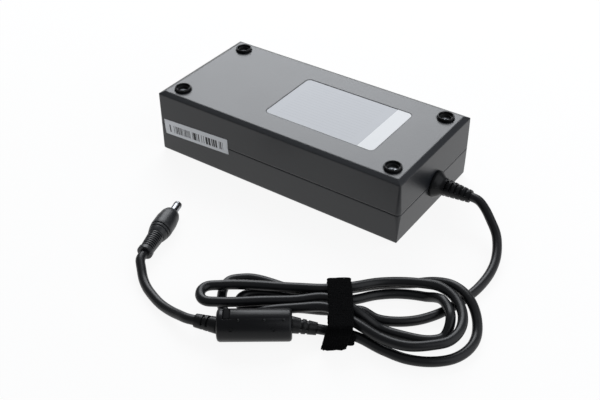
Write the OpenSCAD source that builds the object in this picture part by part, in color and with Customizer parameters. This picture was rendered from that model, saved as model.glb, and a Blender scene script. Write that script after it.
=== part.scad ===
// Laptop power adapter: a two-part case with a mains inlet at one end, and at
// the other the output cord, tied in a hank, with its noise filter and its
// barrel plug. Millimetres. +X runs towards the output cord, +Y is the width,
// +Z is up, and z = 0 is the flat face that the case rests on.

/* [Case] */
// Length of the case
case_l = 171.5; // [162:0.5:190]
// Width of the case
case_w = 83.6; // [80:0.2:96]
// Height of the case without its feet
case_h = 41.8; // [40:0.2:46]
// Height of the parting line above the resting face
split_h = 20.4; // [19:0.2:22]
// Wall thickness of the upper half
wall = 2.4; // [2:0.1:3]
// Wall thickness of the lower half
low_wall = 3.2; // [3:0.1:4]
// Thickness of the floor
floor_t = 2.4; // [2:0.1:3]
// Thickness of the roof
roof_t = 2.6; // [2.4:0.1:3.2]
// Radius of the upright corners
corner_r = 3; // [2.5:0.1:4]
// Width of the bevel round the top face
bevel_w = 3.2; // [2:0.1:3.4]
// Drop of the bevel round the top face
bevel_h = 1.6; // [1:0.1:2.2]
// How far the upper half narrows towards the bevel, on each side
lean = 0.6; // [0.2:0.1:0.8]
// How far the lower half narrows towards the floor, on each side
draft = 0.9; // [0.5:0.1:1.4]
// Radius of the lower edges
edge_r = 1.6; // [1:0.1:2.4]
// Height of the groove along the parting line
seam_h = 0.5; // [0.3:0.1:0.8]
// Depth of the groove along the parting line
seam_in = 0.6; // [0.3:0.1:0.8]
// Height of the tongue that locates the two halves
tongue_h = 1.5; // [1:0.1:2]
// Thickness of that tongue
tongue_t = 1; // [0.8:0.1:1.2]

/* [Feet and screws] */
// Distance from the case's end to a screw and its foot
screw_end_inset = 11.7; // [10.5:0.1:13]
// Distance from the case's side to a screw and its foot
screw_side_inset = 11.2; // [10.5:0.1:13]
// Diameter of a foot
foot_d = 10; // [9:0.2:11]
// Depth of a foot's seat in the top face
foot_seat = 1.2; // [0.8:0.1:1.4]
// How far a foot stands above the top face
foot_rise = 1.8; // [1:0.1:2.5]
// Diameter of a screw's shank
screw_d = 3; // [2.6:0.1:3.2]
// Length of a screw's shank
screw_l = 16; // [12:0.5:17]
// Diameter of a screw's head
head_d = 5.6; // [5:0.1:5.8]
// Height of a screw's head
head_h = 2; // [1.6:0.1:2]
// Depth of a screw's head seat below the top face
head_seat = 3.4; // [3.4:0.1:4]
// Diameter of a screw boss
boss_d = 7.5; // [7:0.1:8]
// Height of the top of a screw boss
boss_top = 30; // [28:0.5:32]

/* [Label and sticker] */
// Label's length
label_l = 74.5; // [60:0.5:76]
// Label's width
label_w = 46.5; // [30:0.5:50]
// Middle of the label along the case
label_x = 19.5; // [10:0.25:22]
// Corner radius of the label
label_r = 3; // [1:0.5:5]
// Depth of the label's recess
label_sink = 0.5; // [0.4:0.1:0.8]
// Thickness of the label
label_t = 0.3; // [0.2:0.05:0.3]
// Width of the plain strip along the label's end
strip_w = 10.3; // [6:0.1:14]
// Sticker's length
sticker_l = 49.5; // [30:0.5:54]
// Sticker's height
sticker_w = 10.3; // [8:0.1:12]
// Sticker's thickness
sticker_t = 0.2; // [0.1:0.05:0.3]

/* [Mains inlet] */
// Width of the inlet's opening
inlet_w = 24.2; // [23.8:0.1:24.6]
// Height of the inlet's opening
inlet_h = 16.4; // [16:0.1:17]
// Depth of the inlet's opening
inlet_depth = 17; // [16:0.5:18]
// Corner chamfer of the inlet's opening
inlet_chamfer = 5; // [4:0.1:6]
// Wall of the inlet's moulding
inlet_wall = 1.7; // [1.4:0.1:2]
// Distance from the middle to the line and neutral blades
blade_pitch = 7; // [6.8:0.1:7.2]
// Offset of a blade above or below the middle
blade_offset = 2; // [1.8:0.1:2.2]
// Height of a blade's section
blade_h = 4; // [3.8:0.1:4.2]
// Thickness of a blade's section
blade_t = 2; // [1.8:0.1:2.2]
// Length of a blade in the opening
blade_l = 14.5; // [13:0.5:15]

/* [Output end] */
// Diameter of the output cord
cord_d = 5.2; // [4.6:0.1:5.4]
// Height of the output cord's exit
exit_z = 17.8; // [17.3:0.1:18.3]
// Diameter of the strain relief's collar
collar_d = 16; // [14:0.5:17]
// Length of the strain relief outside the case
relief_l = 22.5; // [22:0.5:23]
// Diameter at the root of the strain relief's ribs
relief_root_d = 10.5; // [9.5:0.1:11]
// Diameter at the tip of the strain relief's ribs
relief_tip_d = 7.3; // [7:0.1:8]
// Diameter of the strain relief's neck in the wall
neck_d = 8.8; // [8:0.1:9.6]

/* [Circuit board] */
// Space round the board
board_gap = 1.8; // [1:0.1:2.4]
// Thickness of the board
board_t = 1.6; // [1.2:0.1:2]
// Height of the board's underside
board_z = 7; // [6:0.1:7]
// Diameter of the reservoir capacitor
bulk_d = 22; // [18:0.5:24]
// Length of the reservoir capacitor
bulk_l = 34; // [28:0.5:35]
// Length of the transformer's core
core_l = 30; // [26:0.5:32]
// Width of the transformer's core
core_w = 26; // [22:0.5:28]
// Height of the transformer's core
core_h = 24; // [20:0.5:26]
// Height of the heat sinks
sink_h = 24; // [20:0.5:26]

/* [Noise filter and plug] */
// Diameter of the noise filter
filter_d = 16.4; // [15.8:0.1:16.8]
// Length of the noise filter
filter_l = 37; // [34:0.5:38]
// Diameter of the plug's grip
grip_d = 12.6; // [11:0.1:14]
// Length of the plug's grip
grip_l = 21; // [18:0.5:24]
// Length of the plug's ribbed sleeve
sleeve_l = 15; // [12:0.5:18]
// Outer diameter of the plug's barrel
barrel_d = 4.8; // [4.6:0.1:5.6]
// Length of the plug's barrel
barrel_l = 9.5; // [8:0.1:10]
// Bore of the plug's inner contact
plug_bore_d = 1.7; // [1.5:0.1:1.9]

/* [Tie] */
// Width of the hook-and-loop tie
tie_w = 13; // [10:0.5:13]
// Thickness of the hook-and-loop tie
tie_t = 1.5; // [1:0.1:1.5]

/* [Hidden] */
$fn = 48;

// Clearances
fit = 0.15;          // between parts that are fitted by hand
snug = 0.05;         // between parts that are pressed together
rest = 0.1;          // under a round part that lies on a flat one
over = 1;            // how far a cut runs past the face it opens

// Heights and places that several pieces share
board_top = board_z + board_t;
label_z = case_h - label_sink;
foot_z = case_h - foot_seat;
screw_seat = case_h - head_seat;
half_l = case_l / 2;
half_w = case_w / 2;
screw_x = half_l - screw_end_inset;
screw_y = half_w - screw_side_inset;
corners = [for (x = [-1, 1], y = [-1, 1]) [x * screw_x, y * screw_y]];
head_hole_d = head_d + 0.8;
screw_hole_d = screw_d + 0.4;
boss_hole_d = screw_d + 0.2;
column_d = 10.4;
boss_hole_l = screw_l - (screw_seat - boss_top) + 1.4;
boss_room = 1;       // left free round a boss by the board and its sheet

// Inlet
inlet_z = case_h / 2;
inlet_back = 3;
flange_grow = 2;
flange_t = 2;
inlet_body_w = inlet_w + 2 * inlet_wall;
inlet_body_h = inlet_h + 2 * inlet_wall;
inlet_body_l = inlet_depth + inlet_back;
leg_t = 1.6;
leg_reach = 3;

// Output end
neck_hole_d = neck_d + 2 * fit;
inner_flange_d = neck_d + 4.2;
inner_flange_t = 2;
collar_t = 5.5;
wire_d = 2.4;
wire_y = 2.6;
wire_reach = 6;

// Board, its notches round the bosses, and the places of what it carries
board_l = case_l - 2 * (low_wall + flange_t + board_gap);
board_w = case_w - 2 * (low_wall + board_gap);
notch_l = board_l / 2 - screw_x + boss_d / 2 + boss_room;
notch_w = board_w / 2 - screw_y + boss_d / 2 + boss_room;
part_gap = 3.5;
front_row = -board_w / 2 + 8;
back_row = board_w / 2 - 9;
choke_d = 22;
choke_hole = 12;
choke_t = 9;
winding_t = 1.5;
winding_angle = 130;
can_d = 10;
can_h = 20;
leg_x = -half_l + inlet_body_l + leg_reach;
choke_x = leg_x + leg_reach + part_gap + choke_d / 2 + winding_t - 1;
bulk_x = choke_x + choke_d / 2 + winding_t + part_gap + bulk_l / 2;
core_x = bulk_x + bulk_l / 2 + part_gap + core_l / 2;
core_y = -2;
can_x = core_x + core_l / 2 + part_gap + can_d / 2;
can_step = 12;
fuse_x = choke_x - 8;
line_capacitor_x = choke_x + 6;
bridge_x = bulk_x - 19;
chip_x = bulk_x + 15;
opto_x = bulk_x + 35;
safety_x = core_x + 14;
first_sink = [bulk_x + 15, board_w / 2 - 14];
second_sink = [board_l / 2 - 20, board_w / 2 - 16];

// ---- Cord -------------------------------------------------------------
// Height of the cord's middle where it lies on the surface
lie = cord_d / 2 + 0.05;
cord_r = cord_d / 2;
cord_sides = 8;
hank_sides = 6;

// The hank lies along its own axis: p along it, q across it, from the tie
hank_x = half_l + 4.4;
hank_y = -107.2;
hank_turn = 35;
hank_loops = 3;
tie_room = 0.4;      // between the tie and the cords it holds
cross_lift = 5.7;    // a turn that crosses the lead is lifted by this
// Heights of the cord's middle: on the cords that lie on the surface, and in the tie
upper = lie + 6;
tie_low = lie + tie_t + tie_room;
tie_high = tie_low + cord_d + 0.45;

// The cords on the near side of each loop and after the last, as [p, q, height]
near_runs = [
    [[-45, 3.7, lie], [-22, 4.2, 2.8], [-7, 0.4, tie_low], [7, 0.2, tie_low]],
    [
        [-62, 2.9, upper], [-22, 3.8, upper], [-7, 3.8, tie_high], [7, -5.4, tie_high],
        [20, -11.4, 2.9], [30, -16.1, 2.9], [46, -19, lie]
    ],
    [
        [-50, -1.8, 2.8], [-38, -2.1, 6.9], [-22, -2, upper], [-7, -3.2, tie_high],
        [7, -14.4, tie_high], [20, -24.2, upper], [30, -28.6, upper], [44, -28, upper]
    ],
    [[-7, -13.8, tie_low], [7, -18, tie_low], [20, -25.6, lie], [30, -31.2, lie], [44, -33.4, lie]]
];
// The same for the far side
far_runs = [
    [
        [-45, 15.3, lie], [-22, 10.8, 2.8], [-7, 7.2, tie_low], [7, 8, tie_low],
        [20, 13.4, 2.8], [40, 13.1, lie]
    ],
    [
        [-62, 15.3, upper], [-22, 13, upper], [-7, 10.3, tie_high], [7, 11.8, tie_high],
        [20, 16.4, upper], [30, 17.8, upper], [44, 14.8, 9.2]
    ],
    [
        [-50, 27, 2.8], [-38, 23, lie], [-22, 17.5, 2.9], [-7, 13.6, tie_low],
        [7, 16.5, tie_low], [20, 20.6, 3.3], [40, 21.9, 3.1]
    ]
];
// The places between the turns where a loop has rings
near_stops = [7, -7, -22, -38];
far_stops = [-22, -7, 7, 20];
lobe_stop = 20;
last_stop = 30;
// The left turns, as [start, reach, power that squares them off]
folds = [[-45, 6.4, 1], [-62, 9, 0.5], [-50, 10.4, 0.5]];
fold_steps = 6;
// The right turns, as [start on the far side, end on the near side, reach]
lobes = [[40, 46, 11.1], [44, 44, 16.5], [40, 44, 25.9]];
lobe_steps = 8;
// Rise of the right turns over the lead, as [step, share of the lift]
crossings = [[[1, 0], [3, 1], [5, 1], [7, 0]], [[0, 0]], [[0, 0], [2, 1], [3, 1], [5, 0]]];

function on_run(run, p) = [
    p,
    lookup(p, [for (v = run) [v.x, v.y]]),
    lookup(p, [for (v = run) [v.x, v.z]])
];
function turn(start, end, reach, steps, power, crossing) = [
    for (i = [1 : steps - 1])
        let (angle = 180 * i / steps)
        start + (end - start) * (1 - cos(angle)) / 2
            + [reach * pow(sin(angle), power), 0, cross_lift * lookup(i, crossing)]
];
function hank_loop(k) =
    let (near = near_runs[k], far = far_runs[k], next = near_runs[k + 1])
    let (fold = folds[k], lobe = lobes[k])
    let (fold_start = on_run(near, fold[0]), fold_end = on_run(far, fold[0]))
    let (lobe_start = on_run(far, lobe[0]), lobe_end = on_run(next, lobe[1]))
    concat(
        [for (p = near_stops) on_run(near, p)],
        [fold_start],
        turn(fold_start, fold_end, -fold[1], fold_steps, fold[2], [[0, 0]]),
        [fold_end],
        [for (p = far_stops) on_run(far, p)],
        [lobe_start],
        turn(lobe_start, lobe_end, lobe[2], lobe_steps, 1, crossings[k]),
        [lobe_end, on_run(next, last_stop), on_run(next, lobe_stop)]
    );
hank_rings = concat(
    [for (k = [0 : hank_loops - 1], v = hank_loop(k)) v],
    [for (p = [near_stops[0], near_stops[1]]) on_run(near_runs[hank_loops], p)]
);

// Where the hank leaves the tie and meets the noise filter's strain relief
exit_start = hank_rings[len(hank_rings) - 1];
exit_p = -12;
filter_p = -24;
filter_q = -13.4;
filter_z = filter_d / 2;
filter_start = [filter_p, filter_q, filter_z];
function exit_point(p) =
    exit_start + (filter_start - exit_start) * (p - exit_start.x) / (filter_p - exit_start.x);
hank_route = concat(hank_rings, [exit_point(exit_p)]);
lead_run = 3.4;
hank_slope = (hank_route[1].y - hank_route[0].y) / (hank_route[1].x - hank_route[0].x);
hank_entry = hank_route[0] + lead_run * [1, hank_slope, 0];

function in_world(v) = [
    hank_x + v.x * cos(hank_turn) - v.y * sin(hank_turn),
    hank_y + v.x * sin(hank_turn) + v.y * cos(hank_turn),
    v.z
];

// Route of the lead from the case to the tie
exit_x = half_l + relief_l;
lead_points = [
    [0, 0, exit_z], [4.6, -0.2, 17.6], [10.2, -2.8, 15.8], [16.1, -6.7, 12.4],
    [21.9, -11.3, 8.9], [26.2, -18, 5.9], [29.3, -26, 3.9], [31, -35, 2.9], [31.4, -44, lie],
    [30.8, -53, lie], [29, -62, lie], [26.4, -71, lie], [22.4, -80.6, lie], [16, -89.8, lie],
    [8.6, -96, lie], [-0.9, -100.4, 3]
];
lead_route = concat(
    [for (v = lead_points) v + [exit_x, 0, 0]],
    [in_world(hank_entry), in_world(hank_route[0])]
);

// Noise filter's left strain relief, and the plug's place
filter_end = filter_p - filter_l;
left_turn = 158;
left_drop = 4;
left_l = 11.5;
left_root = [filter_end, filter_q, filter_z];
left_way = [cos(left_turn) * cos(left_drop), sin(left_turn) * cos(left_drop), -sin(left_drop)];
left_tip = left_root + left_l * left_way;
plug_x = half_l - 105.9;
plug_y = -130.8;
plug_z = grip_d / 2;
plug_turn = 107;
plug_way = [cos(plug_turn), sin(plug_turn), 0];
straight = 5.2;

// Route of the cord from the noise filter to the plug
end_points = [
    [-59, -156.2, 5.7], [-67, -155, 3.8], [-75.3, -153.3, 2.9], [-82.2, -150.9, lie],
    [-88.9, -148, lie], [-94.7, -144.4, 3.2], [-100.6, -139.3, 5]
];
end_route = concat(
    [in_world(left_tip), in_world(left_tip + straight * left_way)],
    [for (v = end_points) v + [half_l, 0, 0]],
    [[plug_x, plug_y, plug_z] - straight * plug_way, [plug_x, plug_y, plug_z]]
);

// Least gap from a tube's skin to itself, measured on points along its route
gap_parts = 4;
function track(route) = [
    for (i = [0 : len(route) - 2], j = [0 : gap_parts - 1])
        route[i] + (route[i + 1] - route[i]) * j / gap_parts
];
function run_up(points, i = 0, total = 0, sums = []) =
    i == len(points) - 1 ? concat(sums, [total]) :
    run_up(points, i + 1, total + norm(points[i + 1] - points[i]), concat(sums, [total]));
function least_gap(route, d) =
    let (points = track(route))
    let (runs = run_up(points))
    min([
        for (i = [0 : len(points) - 1], j = [i + 1 : len(points) - 1])
            if (runs[j] - runs[i] > 3 * d) norm(points[j] - points[i]) - d
    ]);
function route_length(route) =
    let (runs = run_up(route))
    runs[len(runs) - 1];
echo(hank_least_gap = least_gap(hank_route, cord_d));
echo(
    lead_length = route_length(lead_route),
    hank_length = route_length(hank_route),
    filter_length = filter_l + left_l + norm(exit_point(exit_p) - exit_point(filter_p)),
    end_length = route_length(end_route)
);

// ---- Shapes that repeat -------------------------------------------------
function unit(v) = v / norm(v);
function heading(route, i) = unit(route[min(i + 1, len(route) - 1)] - route[max(i - 1, 0)]);
function ring_points(middle, way, r, sides) =
    let (side = unit(cross(way, [0, 0, 1])))
    let (up = cross(side, way))
    [for (j = [0 : sides - 1])
        let (a = 90 + 360 * j / sides) middle + r * (cos(a) * side + sin(a) * up)];

// A tube swept along a route, all in triangles
module tube(route, r, sides) {
    last = (len(route) - 1) * sides;
    points = [
        for (i = [0 : len(route) - 1]) each ring_points(route[i], heading(route, i), r, sides)
    ];
    walls = [
        for (i = [0 : len(route) - 2], j = [0 : sides - 1])
            let (a = i * sides + j, b = i * sides + (j + 1) % sides)
            each [[a, b, b + sides], [a, b + sides, a + sides]]
    ];
    caps = [
        for (j = [1 : sides - 2]) each [[0, j + 1, j], [last, last + j, last + j + 1]]
    ];
    polyhedron(points, concat(walls, caps), convexity = 10);
}

module outline(x, y, r) {
    square([x - 2 * r, y], center = true);
    square([x, y - 2 * r], center = true);
    for (sx = [-1, 1], sy = [-1, 1])
        translate([sx * (x / 2 - r), sy * (y / 2 - r)])
            circle(r);
}

module plate(x, y, r, z0, z1) {
    translate([0, 0, z0])
        linear_extrude(z1 - z0)
            outline(x, y, r);
}

// A plate that follows the case's outline at a distance inside it
module shrunk_plate(inset, r, z0, z1) {
    plate(case_l - 2 * inset, case_w - 2 * inset, r, z0, z1);
}

// A box given by its middle in x and y and its underside
module block(x, y, z, size) {
    translate([x - size.x / 2, y - size.y / 2, z])
        cube(size);
}

// A profile in x and z, drawn out along Y
module along_y(length) {
    rotate([90, 0, 0])
        linear_extrude(length, center = true)
            children();
}

// A profile in y and z, drawn out along X
module along_x(length) {
    rotate([90, 0, 90])
        linear_extrude(length, center = true)
            children();
}

// A cylinder along X
module rod(x0, x1, d) {
    translate([x0, 0, 0])
        rotate([0, 90, 0])
            cylinder(h = x1 - x0, d = d);
}

// A solid turned about the X axis, from points given as [x, radius]
module turned_solid(points) {
    rotate([0, 90, 0])
        rotate_extrude()
            polygon([for (v = points) [v.y, v.x]]);
}

// Cuts between the ribs of a sleeve along X, with a spine left on each side
module rib_cuts(first, pitch, count, width, core_d, spine) {
    for (i = [0 : count - 1])
        translate([first + i * pitch, 0, 0])
            difference() {
                rod(0, width, 2 * collar_d);
                rod(-over, width + over, core_d);
                translate([-over, -collar_d, -spine / 2])
                    cube([width + 2 * over, 2 * collar_d, spine]);
            }
}

module on_hank() {
    translate([hank_x, hank_y, 0])
        rotate([0, 0, hank_turn])
            children();
}

module on_filter() {
    on_hank()
        translate([filter_p, filter_q, filter_z])
            rotate([0, 0, 180])
                children();
}

module on_plug() {
    translate([plug_x, plug_y, plug_z])
        rotate([0, 0, plug_turn])
            children();
}

// ---- Case -----------------------------------------------------------------
function bevelled(span) =
    let (top = span / 2 - lean)
    [
        [-span / 2, split_h], [span / 2, split_h], [top, case_h - bevel_h],
        [top - bevel_w, case_h], [-top + bevel_w, case_h], [-top, case_h - bevel_h]
    ];

edge_steps = 6;
function drafted_side(span) = concat(
    [[span / 2, split_h]],
    [for (i = [0 : edge_steps])
        let (a = -90 * i / edge_steps)
        [span / 2 - draft - edge_r * (1 - cos(a)), edge_r * (1 + sin(a))]]
);
function drafted(span) = concat(
    drafted_side(span),
    [for (i = [edge_steps + 1 : -1 : 0]) [-drafted_side(span)[i].x, drafted_side(span)[i].y]]
);

module upper_block() {
    intersection() {
        plate(case_l, case_w, corner_r, split_h, case_h);
        along_y(case_w + over) polygon(bevelled(case_l));
        along_x(case_l + over) polygon(bevelled(case_w));
    }
}

module lower_block() {
    intersection() {
        plate(case_l, case_w, corner_r, 0, split_h);
        along_y(case_w + over) polygon(drafted(case_l));
        along_x(case_l + over) polygon(drafted(case_w));
    }
}

module seam_groove() {
    difference() {
        shrunk_plate(-over, corner_r, split_h - seam_h, split_h + over);
        shrunk_plate(seam_in, corner_r - seam_in, split_h - seam_h - over, split_h + 2 * over);
    }
}

module inlet_cut() {
    translate([-half_l - over, -inlet_body_w / 2 - fit, inlet_z - inlet_body_h / 2 - fit])
        cube([low_wall + 2 * over, inlet_body_w + 2 * fit, inlet_body_h + 2 * fit]);
}

module neck_cut() {
    translate([half_l, 0, exit_z])
        rod(-low_wall - over, over, neck_hole_d);
}

module tongue() {
    inset = wall - tongue_t;
    difference() {
        shrunk_plate(inset, corner_r - inset, split_h - tongue_h, split_h + over);
        shrunk_plate(wall, corner_r - wall, split_h - tongue_h - over, split_h + 2 * over);
    }
}

module case_top() {
    color("#3a3c40")
        difference() {
            union() {
                difference() {
                    upper_block();
                    shrunk_plate(wall, corner_r - wall, split_h - over, case_h - roof_t);
                }
                tongue();
                for (c = corners)
                    translate([c.x, c.y, boss_top])
                        cylinder(h = case_h - roof_t / 2 - boss_top, d = column_d);
            }
            translate([label_x, 0, 0])
                plate(label_l, label_w, label_r, label_z, case_h + over);
            for (c = corners)
                translate([c.x, c.y, 0]) {
                    translate([0, 0, boss_top - over])
                        cylinder(h = case_h, d = screw_hole_d);
                    translate([0, 0, screw_seat])
                        cylinder(h = case_h, d = head_hole_d);
                    translate([0, 0, foot_z])
                        cylinder(h = case_h, d = foot_d + 2 * fit);
                }
            inlet_cut();
            neck_cut();
        }
}

standoff_x = screw_x - 14;
standoff_y = screw_y - 1.3;
standoff_d = 5;
inner_r = 1;
standoffs = [for (x = [-1, 1], y = [-1, 1]) [x * standoff_x, y * standoff_y]];

module case_bottom() {
    ledge = wall - tongue_t - fit;
    color("#2f3136")
        difference() {
            union() {
                difference() {
                    lower_block();
                    seam_groove();
                    shrunk_plate(low_wall, inner_r, floor_t, split_h + over);
                    shrunk_plate(ledge, corner_r - ledge, split_h - tongue_h - fit, split_h + over);
                }
                for (c = corners)
                    translate([c.x, c.y, floor_t / 2])
                        cylinder(h = boss_top - floor_t / 2, d = boss_d);
                for (c = standoffs)
                    translate([c.x, c.y, floor_t / 2])
                        cylinder(h = board_z - floor_t / 2, d = standoff_d);
            }
            for (c = corners)
                translate([c.x, c.y, boss_top - boss_hole_l])
                    cylinder(h = boss_hole_l + over, d = boss_hole_d);
            inlet_cut();
            neck_cut();
        }
}

module foot(x, y) {
    r = foot_d / 2;
    inner = head_hole_d / 2;
    top = foot_seat + foot_rise;
    round_off = 0.3;
    rim = 0.8;
    dish = foot_seat + 0.2;
    color("#202124")
        translate([x, y, foot_z])
            rotate_extrude()
                polygon([
                    [inner, 0], [r, 0], [r, top - round_off], [r - round_off, top],
                    [r - rim, top], [r - rim - round_off, dish], [inner, dish]
                ]);
}

module foot_front_left() { foot(-screw_x, -screw_y); }
module foot_front_right() { foot(screw_x, -screw_y); }
module foot_back_left() { foot(-screw_x, screw_y); }
module foot_back_right() { foot(screw_x, screw_y); }

cross_l = 3.4;
cross_w = 0.9;
cross_deep = 1.2;

module case_screws() {
    color("#8a8c90")
        for (c = corners)
            translate([c.x, c.y, screw_seat])
                difference() {
                    union() {
                        cylinder(h = head_h, d = head_d);
                        translate([0, 0, -screw_l])
                            cylinder(h = screw_l, d = screw_d);
                    }
                    block(0, 0, head_h - cross_deep, [cross_l, cross_w, cross_deep + over]);
                    block(0, 0, head_h - cross_deep, [cross_w, cross_l, cross_deep + over]);
                }
}

module label_sheet() {
    color("#c9cbcf")
        translate([label_x, 0, 0])
            plate(label_l - 2 * fit, label_w - 2 * fit, label_r, label_z, label_z + label_t);
}

strip_t = 0.1;
module label_strip() {
    low = label_z + label_t;
    color("#f2f2f2")
        intersection() {
            translate([label_x, 0, 0])
                plate(label_l - 2 * fit, label_w - 2 * fit, label_r, low, low + strip_t);
            block(label_x + (label_l - strip_w) / 2, 0, label_z, [strip_w, label_w, label_sink + over]);
        }
}

sticker_x = -half_l + 4.3 + sticker_l / 2;
sticker_z = split_h - 0.6;
sticker_tilt = -3;
// It follows the front face, bent a little at the parting line
module barcode_sticker() {
    foot = [-half_w + draft, edge_r];
    ridge = [-half_w, split_h];
    top = [-half_w + lean, case_h - bevel_h];
    skin = [sticker_t, 0];
    color("#e8e8e8")
        intersection() {
            along_x(case_l) polygon([foot, ridge, top, top - skin, ridge - skin, foot - skin]);
            translate([sticker_x, -half_w, sticker_z])
                rotate([0, sticker_tilt, 0])
                    cube([sticker_l, 2 * corner_r, sticker_w], center = true);
        }
}

// ---- Mains inlet ------------------------------------------------------------
module inlet_opening() {
    w = inlet_w / 2;
    h = inlet_h / 2;
    polygon([
        [-w, -h], [w, -h], [w, h - inlet_chamfer], [w - inlet_chamfer, h],
        [-w + inlet_chamfer, h], [-w, h - inlet_chamfer]
    ]);
}

module inlet_housing() {
    color("#1f2023")
        difference() {
            union() {
                block(-half_l + inlet_body_l / 2, 0, inlet_z - inlet_body_h / 2,
                    [inlet_body_l, inlet_body_w, inlet_body_h]);
                block(-half_l + low_wall + flange_t / 2, 0, inlet_z - inlet_body_h / 2 - flange_grow,
                    [flange_t, inlet_body_w + 2 * flange_grow, inlet_body_h + 2 * flange_grow]);
            }
            translate([-half_l + (inlet_depth - over) / 2, 0, inlet_z])
                along_x(inlet_depth + over) inlet_opening();
            for (side = [-1, 0, 1])
                translate([-half_l, side * blade_pitch, blade_level(side)])
                    cube([4 * inlet_body_l, blade_t + 2 * snug, blade_h + 2 * snug], center = true);
        }
}

// Line and neutral lie below the middle and earth above it
function blade_level(side) = inlet_z + (side == 0 ? blade_offset : -blade_offset);

module blade(side, leg_x) {
    tip = -half_l + inlet_depth - blade_l;
    color("#b9a76a")
        union() {
            translate([tip, side * blade_pitch - blade_t / 2, blade_level(side) - blade_h / 2])
                cube([leg_x - tip, blade_t, blade_h]);
            translate([leg_x - leg_t, side * blade_pitch - blade_t / 2, board_top])
                cube([leg_t, blade_t, blade_level(side) - board_top]);
        }
}

module inlet_blade_line() { blade(-1, leg_x); }
module inlet_blade_neutral() { blade(1, leg_x); }
module inlet_blade_earth() { blade(0, leg_x + leg_reach); }

// ---- Circuit board and what it carries --------------------------------------
module circuit_board() {
    color("#2c6b3c")
        difference() {
            block(0, 0, board_z, [board_l, board_w, board_t]);
            for (c = corners)
                block(sign(c.x) * (board_l / 2), sign(c.y) * (board_w / 2), board_z - over,
                    [2 * notch_l, 2 * notch_w, board_t + 2 * over]);
        }
}

sheet_t = 0.4;
module insulation_sheet() {
    color("#d8d2c0")
        difference() {
            block(0, 0, floor_t, [board_l, board_w, sheet_t]);
            for (c = corners)
                translate([c.x, c.y, 0])
                    cylinder(h = board_z, d = boss_d + boss_room);
            for (c = standoffs)
                translate([c.x, c.y, 0])
                    cylinder(h = board_z, d = standoff_d + boss_room);
        }
}

fuse_d = 5.2;
fuse_cap = 5;
fuse_l = 20;
fuse_tube_d = 4.8;
module mains_fuse() {
    color("#d9d4c8")
        translate([fuse_x, front_row, board_top + fuse_d / 2 + rest])
            union() {
                rod(-fuse_l / 2, fuse_l / 2, fuse_tube_d);
                rod(-fuse_l / 2, -fuse_l / 2 + fuse_cap, fuse_d);
                rod(fuse_l / 2 - fuse_cap, fuse_l / 2, fuse_d);
            }
}

line_capacitor = [18, 8.5, 15];
module mains_capacitor() {
    color("#d6b23c")
        block(line_capacitor_x, back_row, board_top, line_capacitor);
}

module choke_core() {
    color("#4a5a44")
        translate([choke_x, 0, board_top + winding_t + rest])
            difference() {
                cylinder(h = choke_t, d = choke_d);
                translate([0, 0, -over])
                    cylinder(h = choke_t + 2 * over, d = choke_hole);
            }
}

module choke_windings() {
    inner = choke_hole / 2 - winding_t;
    outer = choke_d / 2 + winding_t;
    color("#a85c2c")
        for (side = [0, 1])
            translate([choke_x, 0, board_top + rest])
                rotate([0, 0, 180 * side + 90 - winding_angle / 2])
                    rotate_extrude(angle = winding_angle)
                        difference() {
                            translate([inner, 0])
                                square([outer - inner, choke_t + 2 * winding_t]);
                            translate([choke_hole / 2 - snug, winding_t - snug])
                                square([(choke_d - choke_hole) / 2 + 2 * snug, choke_t + 2 * snug]);
                        }
}

bridge = [20, 4, 15];
module bridge_rectifier() {
    color("#26272a")
        block(bridge_x, front_row, board_top, bridge);
}

module reservoir_capacitor() {
    vent = 1;
    color("#2b3350")
        translate([bulk_x, 0, board_top + bulk_d / 2 + rest])
            difference() {
                rod(-bulk_l / 2, bulk_l / 2, bulk_d);
                rod(bulk_l / 2 - vent, bulk_l / 2 + over, bulk_d - 4 * vent);
            }
}

// A transistor in a tabbed package, standing on three legs, its tab towards +Y
package = [10, 4.4, 15];
package_body_h = 9;
package_lift = 3;
leg_pitch = 2.5;
pin_w = 0.8;
module tabbed_package(x, y) {
    tab_t = 1.3;
    union() {
        block(x, y, board_top + package_lift, [package.x, package.y - tab_t, package_body_h]);
        block(x, y + (package.y - tab_t) / 2, board_top + package_lift, [package.x, tab_t, package.z]);
        for (i = [-1 : 1])
            block(x + i * leg_pitch, y, board_top, [pin_w, pin_w, package_lift + over]);
    }
}

sink_t = 2;
first_sink_l = 40;
second_sink_l = 20;
module primary_heat_sink() {
    color("#b9bcc0")
        block(first_sink.x, first_sink.y, board_top, [first_sink_l, sink_t, sink_h]);
}

module switching_transistor() {
    color("#26272a")
        tabbed_package(first_sink.x, first_sink.y - (sink_t + package.y) / 2);
}

core_leg = 7;
core_yoke = 5;
module transformer_core() {
    window = (core_l - 2 * core_yoke - core_leg) / 2;
    color("#3c3a38")
        difference() {
            block(core_x, core_y, board_top, [core_l, core_w / 2, core_h]);
            for (side = [-1, 1])
                block(core_x + side * (core_leg + window) / 2, core_y, board_top + core_yoke,
                    [window, core_w, core_h - 2 * core_yoke]);
        }
}

module transformer_winding() {
    window = (core_l - 2 * core_yoke - core_leg) / 2;
    high = core_h - 2 * core_yoke - 2 * fit;
    color("#c9a227")
        difference() {
            block(core_x, core_y, board_top + core_yoke + fit,
                [core_leg + 2 * window - 2 * fit, core_w, high]);
            block(core_x, core_y, board_top, [core_leg + 2 * fit, core_w / 2 + 2 * fit, core_h]);
        }
}

module secondary_heat_sink() {
    color("#b9bcc0")
        block(second_sink.x, second_sink.y, board_top, [second_sink_l, sink_t, sink_h]);
}

module output_diode() {
    color("#26272a")
        tabbed_package(second_sink.x, second_sink.y - (sink_t + package.y) / 2);
}

module can(x, y) {
    color("#2b3350")
        translate([x, y, board_top])
            cylinder(h = can_h, d = can_d);
}
module output_capacitor_a() { can(can_x, core_y); }
module output_capacitor_b() { can(can_x + can_step, core_y - can_step / 2); }

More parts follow.
